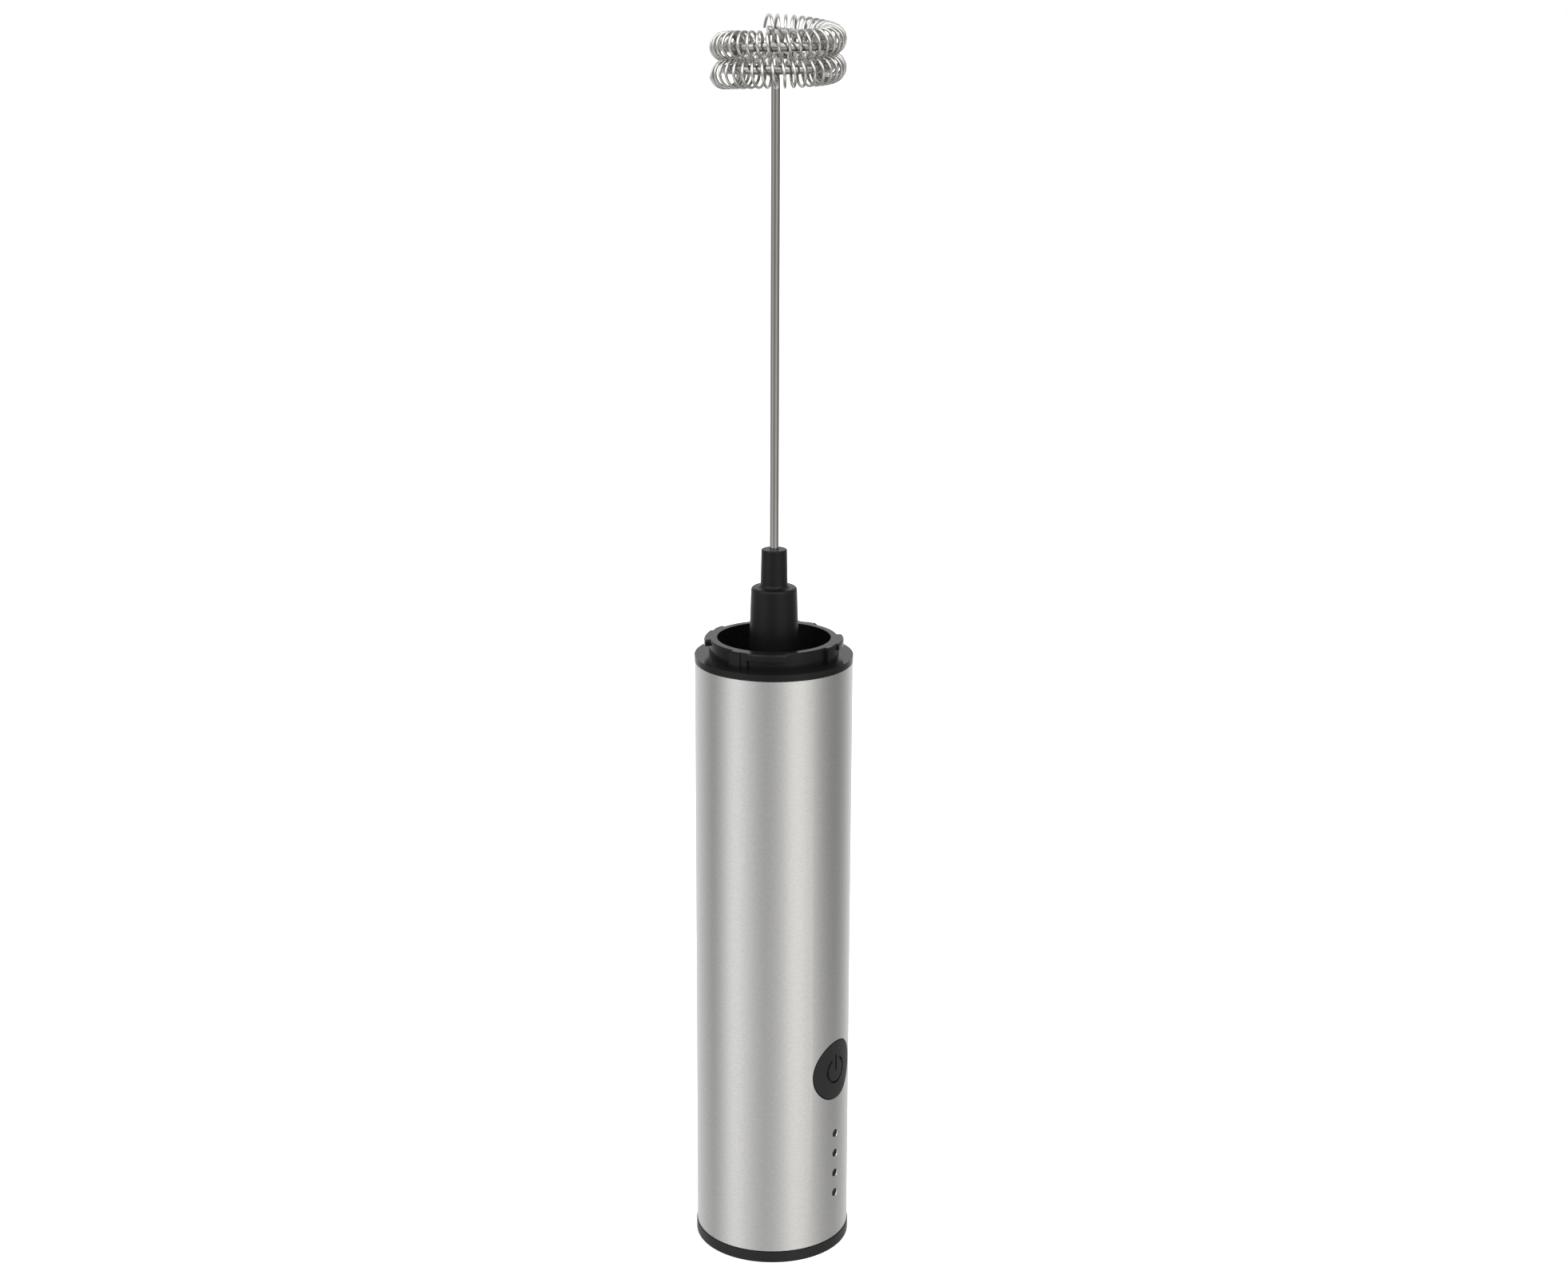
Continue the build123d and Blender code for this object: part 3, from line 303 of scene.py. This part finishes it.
def spring_points():
    points = []
    count = SPRING_LOOPS * POINTS_PER_LOOP
    for i in range(count + 1):
        turn = SPRING_TURN * i / count
        phase = 2 * pi * i / POINTS_PER_LOOP
        angle = radians(RING_START - turn)
        outward = Vector((cos(angle), sin(angle), 0))
        offset = outward * (SPRING_COIL_R * cos(phase)) + Vector((0, 0, SPRING_COIL_R * sin(phase)))
        points.append((ring_point(turn) + offset) * MM)
    return points


def round_wire(points, radius, sides):
    # A closed round wire along these points, carried without twist, with domed ends.
    vertices = []
    faces = []
    rings = len(points)
    ahead = [(points[min(i + 1, rings - 1)] - points[max(i - 1, 0)]).normalized() for i in range(rings)]
    side = ahead[0].orthogonal().normalized()
    for i in range(rings):
        side = (side - ahead[i] * side.dot(ahead[i])).normalized()
        across = ahead[i].cross(side)
        for k in range(sides):
            angle = 2 * pi * k / sides
            vertices.append(points[i] + (side * cos(angle) + across * sin(angle)) * radius)
    for i in range(rings - 1):
        for k in range(sides):
            after = (k + 1) % sides
            a = i * sides
            b = a + sides
            faces.append((a + k, a + after, b + after, b + k))
    for end, sign in ((0, -1), (rings - 1, 1)):
        tip = len(vertices)
        vertices.append(points[end] + ahead[end] * (sign * radius * WIRE_DOME))
        base = end * sides
        for k in range(sides):
            pair = (base + k, base + (k + 1) % sides)
            faces.append((*pair, tip) if sign > 0 else (pair[1], pair[0], tip))
    return vertices, faces


def new_piece(name, vertices, faces, material, slot, body, *nodes):
    mesh = bpy.data.meshes.new(name)
    mesh.from_pydata(vertices, [], faces)
    mesh.materials.append(material)
    for polygon in mesh.polygons:
        polygon.use_smooth = True
    mesh.update()
    piece = bpy.data.objects.new(name, mesh)
    bpy.context.scene.collection.objects.link(piece)
    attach(piece, body)
    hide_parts(*nodes)


def make_spring(materials):
    vertices, faces = round_wire(spring_points(), SPRING_WIRE_R * MM, WIRE_SIDES)
    new_piece("spring_coil", vertices, faces, materials["spring_steel"], "spring_steel", "whisk",
              "whisk_spring")


# ------------------------------------------------------------------ studio

FLOOR_REACH = 6.0
FLOOR_MOTTLE = 3.0
FLOOR_DARK = (0.93, 0.93, 0.93)
FLOOR_LIGHT = (0.95, 0.95, 0.95)
FLOOR_GLOW = 0.65
WHITE = (1, 1, 1)

# light level by angle round the frother, from the camera's side: minus is to its left
STUDIO_LIGHT = (
    (-180, 0.95), (-152, 0.9), (-128, 0.7), (-110, 0.5), (-97, 0.34), (-80, 0.75), (-62, 1.5),
    (-44, 1.25), (-17, 0.48), (0, 0.66), (14, 0.9), (28, 1.48), (46, 1.42), (64, 0.82), (84, 0.38),
    (105, 0.24), (128, 0.5), (152, 0.88), (180, 0.95),
)
BRIGHTEST = 2.5                       # a ramp's colours stop at 1, so light levels are shares of this
WARM_LIGHT = (1.0, 0.99, 0.965)
WARM_FROM = 20
WARM_TO = 70
EYE_LEVEL = 0.62                      # light level near eye level and overhead
OVERHEAD = 1.9
TABLE_LIGHT = (0.76 / BRIGHTEST, 0.76 / BRIGHTEST, 0.755 / BRIGHTEST)
TABLE_MOST = 0.85                     # how much of the light from below is the table's
UNDER = 0.35                          # light level straight below, under the frother itself

# where each change starts and ends: parts of a unit direction, towards the camera or upwards
NEAR_SIDE_SPAN = (-0.2, 0.35)
EYE_LEVEL_SPAN = (-0.38, -0.18)
OVERHEAD_SPAN = (0.05, 0.5)
TABLE_SPAN = (-0.36, -0.58)
UNDER_SPAN = (-0.9, -0.6)


def make_floor():
    mesh = bpy.data.meshes.new("floor")
    corners = [(-1, -1), (1, -1), (1, 1), (-1, 1)]
    mesh.from_pydata([(x * FLOOR_REACH, y * FLOOR_REACH, 0) for x, y in corners], [], [(0, 1, 2, 3)])
    floor = bpy.data.objects.new("floor", mesh)
    floor.location.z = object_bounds()[0][2]
    bpy.context.scene.collection.objects.link(floor)
    paper = Surface("floor_paper", specular=0.0)
    paper.colour(paper.noise(FLOOR_MOTTLE, PLAIN_DETAIL), FLOOR_DARK, FLOOR_LIGHT)
    paper.shader.inputs["Roughness"].default_value = 1.0
    paper.shader.inputs["Emission Color"].default_value = (*WHITE, 1)
    paper.shader.inputs["Emission Strength"].default_value = FLOOR_GLOW
    mesh.materials.append(paper.material)
    floor.visible_glossy = False          # metal mirrors the studio round it, not the paper


class Studio:
    # A world whose light is put together from nodes.

    def __init__(self, name):
        self.world = bpy.data.worlds.new(name)
        self.world.use_nodes = True
        self.nodes = self.world.node_tree.nodes
        self.links = self.world.node_tree.links

    def ramp(self, value, stops):
        # A smooth colour ramp through these places and colours.
        node = self.nodes.new("ShaderNodeValToRGB")
        node.color_ramp.interpolation = "B_SPLINE"
        elements = node.color_ramp.elements
        for place, colour in stops[1:-1]:
            elements.new(place).color = (*colour, 1)
        elements[0].color = (*stops[0][1], 1)
        elements[len(elements) - 1].color = (*stops[-1][1], 1)
        self.links.new(value, node.inputs["Fac"])
        return node.outputs["Color"]

    def mix(self, factor, first, second):
        # factor and first are outputs, second is a plain colour
        node = self.nodes.new("ShaderNodeMix")
        node.data_type = "RGBA"
        node.inputs["B"].default_value = (*second, 1)
        self.links.new(factor, node.inputs["Factor"])
        self.links.new(first, node.inputs["A"])
        return node.outputs["Result"]

    def multiply(self, first, second):
        # the colour first times the number second, both of them outputs
        node = self.nodes.new("ShaderNodeMix")
        node.data_type = "RGBA"
        node.blend_type = "MULTIPLY"
        node.inputs["Factor"].default_value = 1.0
        self.links.new(first, node.inputs["A"])
        self.links.new(second, node.inputs["B"])
        return node

    def change(self, value, span, low, high):
        # A number that goes smoothly from low to high as the value goes through the span.
        node = self.nodes.new("ShaderNodeMapRange")
        node.interpolation_type = "SMOOTHSTEP"
        node.inputs["From Min"].default_value = span[0]
        node.inputs["From Max"].default_value = span[1]
        node.inputs["To Min"].default_value = low
        node.inputs["To Max"].default_value = high
        self.links.new(value, node.inputs["Value"])
        return node.outputs["Result"]

    def product(self, first, second):
        node = self.nodes.new("ShaderNodeMath")
        node.operation = "MULTIPLY"
        self.links.new(first, node.inputs[0])
        self.links.new(second, node.inputs[1])
        return node.outputs[0]


def light_colour(angle, level):
    warm = WARM_LIGHT if WARM_FROM <= angle <= WARM_TO else WHITE
    return shade(warm, level / BRIGHTEST)


def make_world():
    # Two soft lights and dark gaps all round the upright axis, darker near eye level and
    # brighter overhead on the camera's side, with the pale table below.
    studio = Studio("studio")
    place = studio.nodes.new("ShaderNodeTexCoord")
    turn = studio.nodes.new("ShaderNodeMapping")
    turn.inputs["Rotation"].default_value = (0, 0, pi / 2 - VIEW_AZIMUTH)
    radial = studio.nodes.new("ShaderNodeTexGradient")
    radial.gradient_type = "RADIAL"
    split = studio.nodes.new("ShaderNodeSeparateXYZ")
    studio.links.new(place.outputs["Generated"], turn.inputs["Vector"])
    studio.links.new(turn.outputs["Vector"], radial.inputs["Vector"])
    studio.links.new(turn.outputs["Vector"], split.inputs["Vector"])
    towards = split.outputs["X"]
    up = split.outputs["Z"]
    stops = [(0.5 + angle / 360, light_colour(angle, level)) for angle, level in STUDIO_LIGHT]
    around = studio.ramp(radial.outputs["Fac"], stops)
    eye_level = studio.change(up, EYE_LEVEL_SPAN, 1, EYE_LEVEL)
    overhead = studio.change(up, OVERHEAD_SPAN, 1, OVERHEAD / EYE_LEVEL)
    height = studio.multiply(around, studio.product(eye_level, overhead))
    near_side = studio.change(towards, NEAR_SIDE_SPAN, 0, 1)
    studio.links.new(near_side, height.inputs["Factor"])
    below = studio.change(up, TABLE_SPAN, 0, TABLE_MOST)
    lit = studio.mix(below, height.outputs["Result"], TABLE_LIGHT)
    under = studio.change(up, UNDER_SPAN, UNDER, 1)
    lit = studio.multiply(lit, under).outputs["Result"]
    # the camera itself sees a plain white sweep
    seen = studio.nodes.new("ShaderNodeLightPath").outputs["Is Camera Ray"]
    lit = studio.mix(seen, lit, shade(WHITE, 1 / BRIGHTEST))
    background = studio.nodes["Background"]
    background.inputs["Strength"].default_value = BRIGHTEST
    studio.links.new(lit, background.inputs["Color"])
    bpy.context.scene.world = studio.world


# ------------------------------------------------------------------ scene

make_camera()
MATERIALS = make_materials()
paint_cad_nodes(MATERIALS)
make_spring(MATERIALS)
make_world()
make_floor()
bpy.context.scene.view_settings.view_transform = "Standard"
